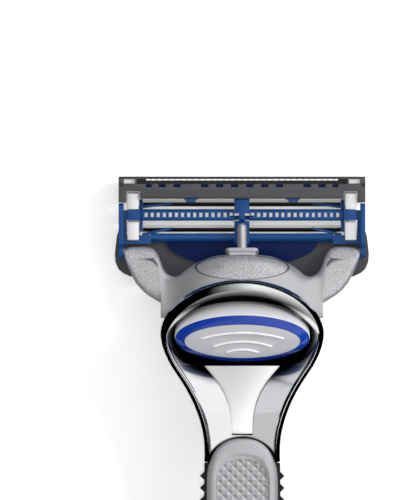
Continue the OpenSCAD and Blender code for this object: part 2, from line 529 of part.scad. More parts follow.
// sleeve: a U section that wraps the sides and the underside
fins = [for (i = [0:11]) -37.9 - i * fin_pitch];
sleeve_y = concat([step_y - step_back - seat_gap], [for (f = fins) each [f + 0.66, f, f - 0.66]],
    [for (y = [-64:-4:tail_y + 2]) y], [tail_y + 0.06]);
function fin_at(y) = max([for (f = fins) max(0, 1 - abs(y - f) / 0.62)]);
function sleeve_ring(y) = let(w = curve(width_at, y), zt = curve(top_at, y), zb = curve(under_at, y),
    f = fin_height * fin_at(y), i = w - skin + sleeve_gap, zm = (zt + zb) / 2,
    outer = [[w - 0.9, zt - 0.75], [w - 0.25, zt - 1.45], [w + f * 0.6, zt - 2], [w + f, zt - 3.6],
        [w + f, zm],
        [w + f * 0.4, zb + 2.6], [w - 0.4, zb + 0.9], [w - 1.9, zb + 0.05], [w - 3.4, zb]],
    inner = [[w - skin + 0.15, zt - 0.95], [i, zt - 1.85], [i, zt - 2.2], [i, zt - 3.6], [i, zm],
        [i, zb + skin + 1.9], [i - 0.5, zb + skin + 0.45], [w - skin - 1.5, zb + skin - sleeve_gap],
        [w - skin - 2, zb + skin - sleeve_gap]])
    concat([for (p = outer) [p[0], y, p[1]]], [for (k = [8:-1:0]) [-outer[k][0], y, outer[k][1]]],
        [for (p = inner) [-p[0], y, p[1]]], [for (k = [8:-1:0]) [inner[k][0], y, inner[k][1]]]);
// skin around a U section: the ring's first half is the outside, the second half the inside
module channel(r) {
    n = len(r[0]);
    m = len(r);
    h = n / 2;
    polyhedron(points = [for (q = r) each q], convexity = 8, faces = concat(
        [for (i = [0:m - 2], j = [0:n - 1]) let(a = i * n + j, b = i * n + (j + 1) % n)
            each [[a, b, a + n], [b, b + n, a + n]]],
        [for (k = [0:h - 2]) each [[k, n - 1 - k, k + 1], [k + 1, n - 1 - k, n - 2 - k]]],
        [for (k = [0:h - 2]) let(o = (m - 1) * n)
            each [[o + k, o + k + 1, o + n - 1 - k], [o + k + 1, o + n - 2 - k, o + n - 1 - k]]]));
}
module grip_sleeve() placed() color("#17181A") difference() {
    channel([for (y = sleeve_y) sleeve_ring(y)]);
    translate([0, 0, -2]) linear_extrude(11.2) thumb_outline(seat_gap);
    translate([0, 0, pad_z]) linear_extrude(3) pad_outline(seat_gap);
}

// end of the handle, rounded off in steps of distance and inset
function tail_ring(y, s) = let(w = tail_half - s, t = max(w - 2.6, 0.1), z = tail_top - 0.9 * s,
    side = [[w - 1.2, 0], [w - 0.3, 0.7], [w, 1.8], [w, z - 1.9], [w - 0.5, z - 0.8],
        [w - 1.4, z - 0.2], [t, z]])
    concat([for (p = side) [p[0], y, p[1]]], [for (k = [6:-1:0]) [-side[k][0], y, side[k][1]]]);
module tail_cap() placed() color("#D0D2D4")
    loft([for (q = [[0, 0], [1.5, 0], [3.5, 0.15], [5.5, 0.6], [7, 1.4], [7.8, 2.4], [8, 3.2]])
        tail_ring(tail_y - q[0], q[1])]);

cartridge_frame();
guard_comb();
rear_cap();
cap_strip();
guard_elastomer();
upper_blade();
upper_blade_support();
lower_blade();
lower_blade_support();
trimmer_blade();
clip_left();
clip_right();
yoke();
plunger();
docking_core();
plunger_spring();
handle_frame();
ejector_slider();
button_skirt();
button_band();
button_face();
ejector_spring();
finger_pad();
thumb_pad();
spine_inlay();
grip_sleeve();
tail_cap();
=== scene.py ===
"""Looks of a cartridge razor that lies on its shaving face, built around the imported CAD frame."""

import json
import logging
import math
from collections.abc import Callable
from dataclasses import dataclass
from enum import Enum

import bmesh
import bpy
from mathutils import Matrix, Vector

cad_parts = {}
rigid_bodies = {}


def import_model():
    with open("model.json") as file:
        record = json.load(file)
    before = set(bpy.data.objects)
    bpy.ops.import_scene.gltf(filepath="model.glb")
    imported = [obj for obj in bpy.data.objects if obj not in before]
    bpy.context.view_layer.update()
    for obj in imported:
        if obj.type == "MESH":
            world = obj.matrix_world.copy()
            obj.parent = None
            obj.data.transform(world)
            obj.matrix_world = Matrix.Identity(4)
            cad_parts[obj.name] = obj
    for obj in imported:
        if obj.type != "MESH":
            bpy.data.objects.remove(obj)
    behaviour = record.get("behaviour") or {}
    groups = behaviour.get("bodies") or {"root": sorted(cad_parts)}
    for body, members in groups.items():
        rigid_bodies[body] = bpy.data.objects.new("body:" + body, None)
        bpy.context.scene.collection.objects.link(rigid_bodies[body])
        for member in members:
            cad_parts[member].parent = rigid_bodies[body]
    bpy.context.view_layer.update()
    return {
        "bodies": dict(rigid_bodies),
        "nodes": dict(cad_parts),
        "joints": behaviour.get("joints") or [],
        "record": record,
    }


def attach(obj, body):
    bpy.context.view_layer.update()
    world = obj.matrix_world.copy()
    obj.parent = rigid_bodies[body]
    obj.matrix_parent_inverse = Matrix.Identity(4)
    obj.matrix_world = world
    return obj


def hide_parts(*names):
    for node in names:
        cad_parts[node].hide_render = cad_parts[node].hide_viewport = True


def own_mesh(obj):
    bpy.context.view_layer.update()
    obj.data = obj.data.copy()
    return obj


log = logging.getLogger("razor")

MM = 0.001
# half height, in millimetres, of an oval that masks a piece from top to bottom
UPRIGHT = 1000.0

Pair = tuple[float, float]
Triple = tuple[float, float, float]


class Body(Enum):
    """The moving groups of the razor, as the frame names them."""

    HANDLE = "handle"
    YOKE = "yoke"
    CARTRIDGE = "cartridge"
    PLUNGER = "plunger"
    BUTTON = "eject_button"


class Texture(Enum):
    """The surface textures that a finish can have."""

    PLAIN = "plain"
    GRAIN = "grain"
    BRUSHED = "brushed"


class LampKind(Enum):
    """The kinds of lamp in the studio."""

    SUN = "SUN"
    AREA = "AREA"


def srgb(code: str) -> tuple[float, float, float, float]:
    """Turns a colour written as RRGGBB into linear light, by the standard sRGB curve.

    Args:
        code: six hexadecimal digits.

    Returns:
        The colour with full opacity.
    """
    shares = [int(code[i : i + 2], 16) / 255 for i in (0, 2, 4)]
    linear = [c / 12.92 if c <= 0.04045 else ((c + 0.055) / 1.055) ** 2.4 for c in shares]
    return (*linear, 1.0)


# ---------------------------------------------------------------- finishes


class Graph:
    """A shader tree with short ways to add nodes that are already joined."""

    def __init__(self, tree: bpy.types.NodeTree) -> None:
        """Keeps the tree that the nodes go into."""
        self.tree = tree

    def node(self, kind: str, **settings: object) -> bpy.types.Node:
        """Adds a node.

        Args:
            kind: the node's type.
            settings: its properties by name.

        Returns:
            The node.
        """
        made = self.tree.nodes.new(kind)
        for name, value in settings.items():
            setattr(made, name, value)
        return made

    def feed(self, socket: bpy.types.NodeSocket, value: object) -> None:
        """Joins a socket to another one, or gives it a plain value.

        Args:
            socket: the socket that takes it.
            value: an output socket, or the value itself.
        """
        if isinstance(value, bpy.types.NodeSocket):
            self.tree.links.new(value, socket)
        else:
            socket.default_value = value

    def math(self, operation: str, *values: object) -> bpy.types.NodeSocket:
        """Adds a math node.

        Args:
            operation: Blender's name for it.
            values: what it works on, in order, as sockets or numbers.

        Returns:
            Its result.
        """
        made = self.node("ShaderNodeMath", operation=operation)
        for socket, value in zip(made.inputs, values):
            self.feed(socket, value)
        return made.outputs[0]

    def step(self, value: bpy.types.NodeSocket, ends: Pair, unit: float = 1.0) -> bpy.types.NodeSocket:
        """Adds a smooth step from 0 to 1.

        Args:
            value: what is measured.
            ends: the values at which the step is 0 and 1, in either order.
            unit: size of their unit, such as MM.

        Returns:
            The mask.
        """
        made = self.node("ShaderNodeMapRange", interpolation_type="SMOOTHSTEP")
        low, high = (end * unit for end in ends)
        for name, given in (("Value", value), ("From Min", low), ("From Max", high)):
            self.feed(made.inputs[name], given)
        return made.outputs["Result"]

    def mix(self, factor: bpy.types.NodeSocket, a: object, b: object) -> bpy.types.NodeSocket:
        """Blends two colours.

        Args:
            factor: the mask.
            a: the colour where the mask is 0.
            b: the colour where it is 1.

        Returns:
            The blended colour.
        """
        made = self.node("ShaderNodeMix", data_type="RGBA")
        for name, given in (("Factor", factor), ("A", a), ("B", b)):
            self.feed(made.inputs[name], given)
        return made.outputs["Result"]

    def bump(self, height: bpy.types.NodeSocket, strength: float, depth: float) -> bpy.types.NodeSocket:
        """Bends the normal by a height.

        Args:
            height: the height, from 0 to 1.
            strength: how much of it shows.
            depth: what a height of 1 stands for, in millimetres.

        Returns:
            The normal.
        """
        made = self.node("ShaderNodeBump")
        for name, given in (("Height", height), ("Strength", strength), ("Distance", depth * MM)):
            self.feed(made.inputs[name], given)
        return made.outputs["Normal"]

    def spot(self) -> bpy.types.Node:
        """Adds the node that gives a point's place and normal on its piece."""
        return self.node("ShaderNodeTexCoord")

    def parts(self, vector: bpy.types.NodeSocket) -> bpy.types.NodeOutputs:
        """Splits a vector.

        Args:
            vector: the vector.

        Returns:
            Its parts, by the names X, Y and Z.
        """
        made = self.node("ShaderNodeSeparateXYZ")
        self.feed(made.inputs[0], vector)
        return made.outputs

    def group(self, tree: bpy.types.NodeTree, **values: object) -> bpy.types.NodeOutputs:
        """Adds a shared group.

        Args:
            tree: the group.
            values: sockets or values for its inputs, by name.

        Returns:
            Its outputs.
        """
        made = self.node("ShaderNodeGroup", node_tree=tree)
        for name, given in values.items():
            self.feed(made.inputs[name], given)
        return made.outputs

    def oval(self, spot: bpy.types.Node, centre: Triple, radii: Triple) -> bpy.types.NodeOutputs:
        """Adds the shared oval group.

        Args:
            spot: the node that gives a point's place.
            centre: the oval's middle, in millimetres.
            radii: its half axes, in millimetres.

        Returns:
            The group's outputs.
        """
        return self.group(
            TextureGroups.oval(), Vector=spot.outputs["Object"],
            Centre=[v * MM for v in centre], Radii=[v * MM for v in radii],
        )


class TextureGroups:
    """Shader node groups that several finishes share, each made once."""

    GRAIN_DETAIL = 3.0
    # shares of an oval's radii: where its inside starts to fade, and how wide its rim line is
    FADE_FROM = 0.94
    RIM_REACH = 0.05

    @staticmethod
    def _new(
        name: str, given: dict[str, float | None], put_out: tuple[str, ...],
    ) -> tuple[Graph, bpy.types.Node, bpy.types.Node]:
        """Starts a group.

        Args:
            name: the group's name.
            given: its inputs, with None for a vector and a number for a plain value.
            put_out: its outputs, all plain values.

        Returns:
            The group's graph, its input node and its output node.
        """
        tree = bpy.data.node_groups.new(name, "ShaderNodeTree")
        for label, value in given.items():
            kind = "NodeSocketVector" if value is None else "NodeSocketFloat"
            socket = tree.interface.new_socket(label, in_out="INPUT", socket_type=kind)
            if value is not None:
                socket.default_value = value
        for label in put_out:
            tree.interface.new_socket(label, in_out="OUTPUT", socket_type="NodeSocketFloat")
        graph = Graph(tree)
        return graph, graph.node("NodeGroupInput"), graph.node("NodeGroupOutput")

    @classmethod
    def grain(cls) -> bpy.types.NodeTree:
        """Makes the group of fine surface grain.

        Returns:
            The group, which puts out a height and a roughness that changes slightly with it.
        """
        name = "surface_grain"
        if name in bpy.data.node_groups:
            return bpy.data.node_groups[name]
        given = {"Vector": None, "Scale": 6000.0, "Roughness": 0.3, "Spread": 0.08}
        graph, start, end = cls._new(name, given, ("Height", "Roughness"))
        noise = graph.node("ShaderNodeTexNoise")
        noise.inputs["Detail"].default_value = cls.GRAIN_DETAIL
        graph.feed(noise.inputs["Vector"], start.outputs["Vector"])
        graph.feed(noise.inputs["Scale"], start.outputs["Scale"])
        height = noise.outputs["Fac"]
        rough = graph.math("MULTIPLY_ADD", height, start.outputs["Spread"], start.outputs["Roughness"])
        graph.feed(end.inputs["Height"], height)
        graph.feed(end.inputs["Roughness"], rough)
        return graph.tree

    @classmethod
    def oval(cls) -> bpy.types.NodeTree:
        """Makes the group that says how far a point lies from an oval's middle.

        Returns:
            The group. It puts out the distance as a share of the radii, a mask of the inside and a
            mask of a line along the rim.
        """
        name = "oval_area"
        if name in bpy.data.node_groups:
            return bpy.data.node_groups[name]
        given = {"Vector": None, "Centre": None, "Radii": None}
        graph, start, end = cls._new(name, given, ("Reach", "Inside", "Rim"))
        off = graph.node("ShaderNodeVectorMath", operation="SUBTRACT")
        ratio = graph.node("ShaderNodeVectorMath", operation="DIVIDE")
        length = graph.node("ShaderNodeVectorMath", operation="LENGTH")
        graph.feed(off.inputs[0], start.outputs["Vector"])
        graph.feed(off.inputs[1], start.outputs["Centre"])
        graph.feed(ratio.inputs[0], off.outputs[0])
        graph.feed(ratio.inputs[1], start.outputs["Radii"])
        graph.feed(length.inputs[0], ratio.outputs[0])
        reach = length.outputs["Value"]
        off_rim = graph.math("ABSOLUTE", graph.math("SUBTRACT", reach, 1.0))
        graph.feed(end.inputs["Reach"], reach)
        graph.feed(end.inputs["Inside"], graph.step(reach, (1.0, cls.FADE_FROM)))
        graph.feed(end.inputs["Rim"], graph.step(off_rim, (cls.RIM_REACH, 0.0)))
        return graph.tree


@dataclass(frozen=True)
class Finish:
    """One surface finish of the razor and the material made from it.

    Attributes:
        name: the material's name.
        colour: its colour as RRGGBB.
        metallic: 0 for plastic and 1 for bare metal.
        roughness: its mean roughness.
        coat: weight of the clear coat.
        texture: the surface texture.
        texture_scale: number of grains in a metre.
        depth: height of the grain, in millimetres.
        specular: strength of the reflections on plastic.
        coat_roughness: roughness of the clear coat.
        spread: how much the grain changes the roughness.
        grain_bump: how much of the grain's height shows.
        brushing: scale of the brushed grain along each axis.
    """

    name: str
    colour: str
    metallic: float = 0.0
    roughness: float = 0.4
    coat: float = 0.0
    texture: Texture = Texture.PLAIN
    texture_scale: float = 7000.0
    depth: float = 0.02
    specular: float = 0.5
    coat_roughness: float = 0.08
    spread: float = 0.08
    grain_bump: float = 0.35
    brushing: Triple = (0.05, 1.0, 1.0)

    def material(self) -> bpy.types.Material:
        """Builds the material the first time.

        Returns:
            The material.
        """
        found = bpy.data.materials.get(self.name)
        if found:
            return found
        mat = bpy.data.materials.new(self.name)
        mat.use_nodes = True
        graph = Graph(mat.node_tree)
        shader = mat.node_tree.nodes["Principled BSDF"].inputs
        shader["Base Color"].default_value = srgb(self.colour)
        shader["Metallic"].default_value = self.metallic
        shader["Roughness"].default_value = self.roughness
        shader["Coat Weight"].default_value = self.coat
        shader["Coat Roughness"].default_value = self.coat_roughness
        shader["Specular IOR Level"].default_value = self.specular
        mat.diffuse_color = srgb(self.colour)
        self._dress(graph, shader)
        return mat

    def _dress(self, graph: Graph, shader: bpy.types.NodeInputs) -> None:
        """Joins the shared grain group to the shader's roughness and normal.

        Args:
            graph: the material's graph.
            shader: the inputs of its shader.
        """
        if self.texture is Texture.PLAIN:
            return
        source = graph.spot().outputs["Object"]
        if self.texture is Texture.BRUSHED:
            stretch = graph.node("ShaderNodeMapping")
            stretch.inputs["Scale"].default_value = self.brushing
            graph.feed(stretch.inputs["Vector"], source)
            source = stretch.outputs["Vector"]
        grain = graph.group(
            TextureGroups.grain(), Vector=source, Scale=self.texture_scale,
            Roughness=self.roughness - self.spread / 2, Spread=self.spread,
        )
        graph.feed(shader["Roughness"], grain["Roughness"])
        graph.feed(shader["Normal"], graph.bump(grain["Height"], self.grain_bump, self.depth))


@dataclass(frozen=True)
class YokeFinish(Finish):
    """Satin silver with a sanded oval on the dome and sanded arms, each inside a thin line.

    Places are in millimetres, in the frame's axes.

    Attributes:
        oval_centre: middle of the sanded oval.
        oval_radii: its half axes.
        arm_from: distance from the middle at which the arms' sanding starts.
        arm_fade: width over which it comes in.
        sand_slope: upward share of the normal at which the sanding starts and is full.
        line_slope: the same for the outer edge of the line round it.
        lip: where along Y the arms' front lip starts and where it is full.
        lip_gain: what the lip adds to that share, so that its slope is sanded too.
        line_end: Y past which the arms have no line.
        line_fade: width over which the line ends.
        line_colour: colour of the lines.
        sand_dark: colour of the sand's low spots.
        sand_light: colour of its high spots.
        sand_levels: heights at which these two colours are full.
        sand_bump: how much of the sand's height shows.
    """

    oval_centre: Triple = (0.0, 56.95, 0.0)
    oval_radii: Triple = (7.9, 2.05, UPRIGHT)
    arm_from: float = 14.2
    arm_fade: float = 0.3
    sand_slope: Pair = (0.90, 0.92)
    line_slope: Pair = (0.87, 0.89)
    lip: Pair = (58.4, 59.2)
    lip_gain: float = 0.3
    line_end: float = 59.9
    line_fade: float = 0.4
    line_colour: str = "58595C"
    sand_dark: str = "9A9B9D"
    sand_light: str = "C0C1C3"
    sand_levels: Pair = (0.4, 0.6)
    sand_bump: float = 0.8

    def _dress(self, graph: Graph, shader: bpy.types.NodeInputs) -> None:
        """Adds the sand grain inside the two masks and the line round them.

        Args:
            graph: the material's graph.
            shader: the inputs of its shader.
        """
        spot = graph.spot()
        oval = graph.oval(spot, self.oval_centre, self.oval_radii)
        face, edge = self._arm_masks(graph, spot)
        sand = graph.math("MAXIMUM", oval["Inside"], face)
        line = graph.math("MAXIMUM", oval["Rim"], edge)
        grain = graph.group(TextureGroups.grain(), Vector=spot.outputs["Object"], Scale=self.texture_scale)
        height = graph.math("SUBTRACT", graph.math("MULTIPLY", grain["Height"], sand), line)
        level = graph.step(grain["Height"], self.sand_levels)
        speck = graph.mix(level, srgb(self.sand_dark), srgb(self.sand_light))
        sanded = graph.mix(sand, srgb(self.colour), speck)
        graph.feed(shader["Base Color"], graph.mix(line, sanded, srgb(self.line_colour)))
        graph.feed(shader["Normal"], graph.bump(height, self.sand_bump, self.depth))

    def _arm_masks(
        self, graph: Graph, spot: bpy.types.Node,
    ) -> tuple[bpy.types.NodeSocket, bpy.types.NodeSocket]:
        """Masks the arms' upward faces, and the line along their rear edge.

        Args:
            graph: the material's graph.
            spot: the node that gives a point's place and normal.

        Returns:
            The output sockets of the face mask and of the line mask.
        """
        place = graph.parts(spot.outputs["Object"])
        lip = graph.step(place["Y"], self.lip, MM)
        facing = graph.math("MULTIPLY_ADD", lip, self.lip_gain, graph.parts(spot.outputs["Normal"])["Z"])
        off_middle = graph.math("ABSOLUTE", place["X"])
        out = graph.step(off_middle, (self.arm_from, self.arm_from + self.arm_fade), MM)
        face = graph.math("MULTIPLY", graph.step(facing, self.sand_slope), out)
        whole = graph.math("MULTIPLY", graph.step(facing, self.line_slope), out)
        behind = graph.step(place["Y"], (self.line_end, self.line_end - self.line_fade), MM)
        return face, graph.math("MULTIPLY", graph.math("SUBTRACT", whole, face), behind)


@dataclass(frozen=True)
class ChromeWithPaintedShade(Finish):
    """Polished chrome with painted shade in the recess round the release button and round the finger pad,
    where shade falls.

    Places are in millimetres, in the frame's axes.

    Attributes:
        shade: colour of the painted shade.
        recess_centre: middle of the recess.
        recess_radii: its half axes.
        recess_full: share of these inside which the painted shade is full.
        recess_top: heights between which the painted shade ends, below the hoop's rim.
        seat_centre: middle of the oval of painted shade round the finger pad's front end.
        seat_radii: its half axes.
        seat_from: heights between which it starts.
    """

    shade: str = "050608"
    recess_centre: Triple = (0.0, 45.175, 0.0)
    recess_radii: Triple = (14.8, 8.8, UPRIGHT)
    recess_full: float = 0.78
    recess_top: Pair = (15.7, 16.1)
    seat_centre: Triple = (0.0, 21.9, 0.0)
    seat_radii: Triple = (6.9, 6.85, UPRIGHT)
    seat_from: Pair = (14.4, 14.8)

    def _dress(self, graph: Graph, shader: bpy.types.NodeInputs) -> None:
        """Paints shade on the chrome inside the two ovals.

        Args:
            graph: the material's graph.
            shader: the inputs of its shader.
        """
        spot = graph.spot()
        up = graph.parts(spot.outputs["Object"])["Z"]
        recess = graph.oval(spot, self.recess_centre, self.recess_radii)
        outside = graph.step(recess["Reach"], (self.recess_full, 1.0))
        clear = graph.math("MAXIMUM", outside, graph.step(up, self.recess_top, MM))
        seat = graph.oval(spot, self.seat_centre, self.seat_radii)
        seat_painted_shade = graph.math("MULTIPLY", seat["Inside"], graph.step(up, self.seat_from, MM))
        clear = graph.math("MULTIPLY", clear, graph.math("SUBTRACT", 1.0, seat_painted_shade))
        # painted shade: the chrome's colour turns to the shade colour inside the two ovals
        graph.feed(shader["Base Color"], graph.mix(clear, srgb(self.shade), srgb(self.colour)))


class Finishes:
    """The finishes of this razor."""

    FRAME_BLUE = Finish("moulded_blue", "083668", roughness=0.3, coat=0.1, specular=0.3)
    # painted shade: the frame's blue darkened to navy where the scoop and the trimmer rib lie in shade
    BLUE_PAINTED_SHADE = Finish("moulded_blue_painted_shade", "03133A", roughness=0.4, specular=0.15)
    CAP_GREY = Finish("cap_dark_grey", "39393C", roughness=0.42, texture=Texture.GRAIN)
    STRIP = Finish("lubricating_strip", "CFE0E8", roughness=0.6, texture=Texture.GRAIN)
    ELASTOMER = Finish("guard_elastomer_grey", "333437", roughness=0.62, texture=Texture.GRAIN)
    BLADE = Finish("ground_blade_steel", "F0EFEA", metallic=0.2, roughness=0.35, texture=Texture.BRUSHED)
    # painted highlight on the upward faces of the cap's ledges
    LEDGE_PAINTED_HIGHLIGHT = Finish("slot_end_ledge_painted_highlight", "B9BABC", metallic=0.3, roughness=0.35)
    # painted shade: near-black stands in for the shade on the slanted blade supports
    SUPPORT_PAINTED_SHADE = Finish("blade_support_painted_shade", "141416", roughness=0.4)
    CLIP = Finish(
        "clip_satin", "DDDEDF", metallic=0.6, roughness=0.34, texture=Texture.GRAIN, depth=0.006,
    )
    YOKE = YokeFinish(
        "yoke_satin_silver", "ABACAE", metallic=0.6, roughness=0.3, texture_scale=5000, depth=0.04,
    )
    TRIMMER = Finish("trimmer_bright_steel", "F2F2F2", metallic=0.3, roughness=0.3)
    # polished chrome with painted shade round the release button and the finger pad
    CHROME = ChromeWithPaintedShade("polished_chrome", "F0F1F3", metallic=1.0, roughness=0.07)
    TAIL_CHROME = Finish("polished_chrome_tail", "F0F1F3", metallic=1.0, roughness=0.07)
    CORE = Finish("core_dark_plastic", "2E2F31", roughness=0.5)
    PLUNGER = Finish("plunger_satin_silver", "C4C5C8", metallic=0.75, roughness=0.28)
    WIRE = Finish("spring_wire", "B9BBBE", metallic=1.0, roughness=0.25)
    SKIRT = Finish("button_gloss_silver", "B4B5B7", roughness=0.25, coat=0.3)
    BAND = Finish("button_band_blue", "0C2C80", roughness=0.16, coat=0.25)
    FACE = Finish(
        "button_satin_silver", "AEAFB1", metallic=0.4, roughness=0.34, texture=Texture.GRAIN, depth=0.008,
    )
    # painted highlight: the ridges are lighter than the face to stand for their highlights; their lower
    # roughness is real polish
    RIDGE_PAINTED_HIGHLIGHT = Finish("button_ridge_polish_and_painted_highlight", "DCDDDE", metallic=0.4, roughness=0.2)
    PAD = Finish(
        "pad_satin_silver", "ADAEB0", metallic=0.6, roughness=0.3, texture=Texture.GRAIN, depth=0.008,
    )
    RUBBER = Finish("grip_rubber_black", "17181A", roughness=0.55, texture=Texture.GRAIN)


# ---------------------------------------------------------------- making pieces


class Maker:
    """Makes visible pieces from copies of the frame's nodes."""

    # in metres: vertices closer than this are one, and edges shorter than this go
    WELD = 2e-6
    SLIVER = 1e-6
    # faces that meet at less than this become one, and edges below the second angle look smooth
    FLAT_ANGLE = math.radians(0.6)
    SMOOTH_ANGLE = math.radians(38)
    EDGE_STEPS = 2

    def __init__(self, frame: dict) -> None:
        """Keeps the frame that the pieces are copied from."""
        self.nodes: dict[str, bpy.types.Object] = frame["nodes"]
        self.slots = {s["node"]: s["material_slot"] for s in frame["record"]["subparts"]}

    def shell(
        self, node: str, body: Body, finish: Finish, edge: float = 0.05, crease: float = 32.0,
    ) -> bpy.types.Object:
        """Copies a node as one welded mesh with softened edges, and shows it in the node's place.

        Args:
            node: name of the CAD node.
            body: the group that it moves with.
            finish: the surface finish.
            edge: width of the softened edges, in millimetres.
            crease: the angle, in degrees, above which an edge is softened.

        Returns:
            The new piece.
        """
        mesh = bpy.data.meshes.new(node + "_shell")
        bm = bmesh.new()
        bm.from_mesh(self.nodes[node].data)
        bmesh.ops.remove_doubles(bm, verts=bm.verts, dist=self.WELD)
        bmesh.ops.dissolve_degenerate(bm, edges=bm.edges, dist=self.SLIVER)
        bmesh.ops.dissolve_limit(
            bm, angle_limit=self.FLAT_ANGLE, verts=bm.verts, edges=bm.edges, use_dissolve_boundaries=False,
        )
        if edge > 0:
            bmesh.ops.bevel(
                bm, geom=self._edges_over(bm, math.radians(crease)), offset=edge * MM, offset_type="OFFSET",
                segments=self.EDGE_STEPS, profile=0.5, affect="EDGES", clamp_overlap=True, material=-1,
                loop_slide=False,
            )
        for face in bm.faces:
            face.smooth = True
        for rim in bm.edges:
            rim.smooth = len(rim.link_faces) != 2 or rim.calc_face_angle(0.0) < self.SMOOTH_ANGLE
        bm.to_mesh(mesh)
        bm.free()
        return self.place(mesh, node + "_shell", body, finish, node)

    @staticmethod
    def _edges_over(bm: bmesh.types.BMesh, angle: float) -> list[bmesh.types.BMEdge]:
        """Returns the edges between two faces that meet at more than an angle, in radians."""
        return [e for e in bm.edges if len(e.link_faces) == 2 and e.calc_face_angle(0.0) > angle]

    def paint(
        self, piece: bpy.types.Object, finish: Finish, chosen: Callable[[Vector, Vector], bool],
    ) -> None:
        """Gives some faces of a piece a second finish.

        Args:
            piece: the piece.
            finish: the second finish.
            chosen: takes a face's centre in millimetres and its normal, and says if the face gets it.
        """
        piece.data.materials.append(finish.material())
        for face in piece.data.polygons:
            if chosen(face.center / MM, face.normal):
                face.material_index = len(piece.data.materials) - 1

    def place(
        self, mesh: bpy.types.Mesh, name: str, body: Body, finish: Finish, *replaced: str,
    ) -> bpy.types.Object:
        """Links a finished mesh as a piece of the razor.

        Args:
            mesh: the mesh, in the frame's axes.
            name: the piece's name.
            body: the group that it moves with.
            finish: the surface finish.
            replaced: the CAD nodes that it stands for.

        Returns:
            The piece.
        """
        piece = bpy.data.objects.new(name, mesh)
        bpy.context.scene.collection.objects.link(piece)
        mesh.materials.clear()
        mesh.materials.append(finish.material())
        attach(piece, body.value)
        if replaced:
            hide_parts(*replaced)
        log.info("piece %s: %d faces", name, len(mesh.polygons))
        return piece


# ---------------------------------------------------------------- sub-assemblies


@dataclass
class Cartridge:
    """The blade cartridge: frame, cap, guard, blades and clips. Sizes are in millimetres.

    Attributes:
        maker: makes the visible pieces.
        edge: width of the softened edges.
        comb_edge: the same on the guard comb.
        soft_edge: the same on the elastomer.
        support_edge: the same on the blade supports.
        scoop_top: height below which the scoop gets painted shade, a navy blue.
        scoop_end: Y at which the scoop ends.
        rib_from: Y from which the frame's trimmer rib gets the same painted shade.
        ledge_z: heights between which the ledges of the cap lie, whose upward faces get a painted
            highlight.
        ledge_from: distance from the middle at which they start.
        ledge_slope: upward share of the normal above which a face belongs to them.
    """

    maker: Maker
    edge: float = 0.05
    comb_edge: float = 0.04
    soft_edge: float = 0.12
    support_edge: float = 0.02
    scoop_top: float = 2.07
    scoop_end: float = 61.27
    rib_from: float = 69.3
    ledge_z: Pair = (5.8, 5.9)
    ledge_from: float = 18.0
    ledge_slope: float = 0.9

    def _in_painted_shade(self, spot: Vector, facing: Vector) -> bool:
        """Says if a point of the frame, in millimetres, belongs to the scoop or the trimmer rib, which get
        painted shade.
        """
        return (spot.z < self.scoop_top and spot.y < self.scoop_end) or spot.y > self.rib_from

    def _is_ledge(self, spot: Vector, facing: Vector) -> bool:
        """Says if a point of the cap, in millimetres, lies on the upward face of a ledge at the trimmer
        slot's ends, which gets a painted highlight.
        """
        low, high = self.ledge_z
        return low < spot.z < high and abs(spot.x) > self.ledge_from and facing.z > self.ledge_slope

    def build(self) -> None:
        """Dresses every piece of the cartridge."""
        shell, at = self.maker.shell, Body.CARTRIDGE
        frame = shell("cartridge_frame", at, Finishes.FRAME_BLUE, self.edge)
        # painted shade on the scoop under the guard and on the trimmer rib
        self.maker.paint(frame, Finishes.BLUE_PAINTED_SHADE, self._in_painted_shade)
        shell("guard_comb", at, Finishes.FRAME_BLUE, self.comb_edge)
        cap = shell("rear_cap", at, Finishes.CAP_GREY, self.edge)
        # painted highlight on the upward faces of the ledges at the trimmer slot's ends
        self.maker.paint(cap, Finishes.LEDGE_PAINTED_HIGHLIGHT, self._is_ledge)
        shell("cap_strip", at, Finishes.STRIP, self.edge)
        shell("guard_elastomer", at, Finishes.ELASTOMER, self.soft_edge)
        for blade in ("upper_blade", "lower_blade"):
            shell(blade, at, Finishes.BLADE, edge=0.0)
        shell("trimmer_blade", at, Finishes.TRIMMER, edge=0.0)
        for support in ("upper_blade_support", "lower_blade_support"):
            # the blade supports carry painted shade
            shell(support, at, Finishes.SUPPORT_PAINTED_SHADE, self.support_edge)
        for clip in ("clip_left", "clip_right"):
            shell(clip, at, Finishes.CLIP, self.edge)


@dataclass
class Spring:
    """A coil spring that its joint presses together.

    Attributes:
        node: name of the CAD node.
        joint: the joint that presses it. Not used.
        length: its free length, in millimetres. Not used.
        stroke: how much shorter it gets, in millimetres. Not used.
        fixed: its end that stays, in millimetres. Not used.
        push: the way that the other end moves. Not used.
    """

    node: str
    joint: str
    length: float
    stroke: float
    fixed: Triple
    push: Triple

    def build(self, maker: Maker) -> None:
        """Dresses the spring and gives it a mesh of its own.

        Args:
            maker: makes the visible piece.
        """
        spring = maker.shell(self.node, Body.HANDLE, Finishes.WIRE, edge=0.0)
        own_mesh(spring)


@dataclass
class Yoke:
    """The dome with two arms, and the plunger that comes out of it.

    Attributes:
        maker: makes the visible pieces.
        dock: slope of the plunger's axis, in radians.
        edge: width of the softened edges, in millimetres.
        plunger_edge: the same on the plunger.
    """

    maker: Maker
    dock: float = math.radians(20)
    edge: float = 0.06
    plunger_edge: float = 0.05

    def build(self) -> None:
        """Dresses the yoke, its plunger and the core that it slides onto."""
        shell = self.maker.shell
        shell("yoke", Body.YOKE, Finishes.YOKE, self.edge, crease=40)
        shell("plunger", Body.PLUNGER, Finishes.PLUNGER, self.plunger_edge, crease=50)
        shell("docking_core", Body.HANDLE, Finishes.CORE, self.edge)
        spring = Spring(
            "plunger_spring", "plunger_slide", length=5.85, stroke=3.3, fixed=(0.0, 49.063, 9.718),
            push=(0.0, -math.cos(self.dock), math.sin(self.dock)),
        )
        spring.build(self.maker)


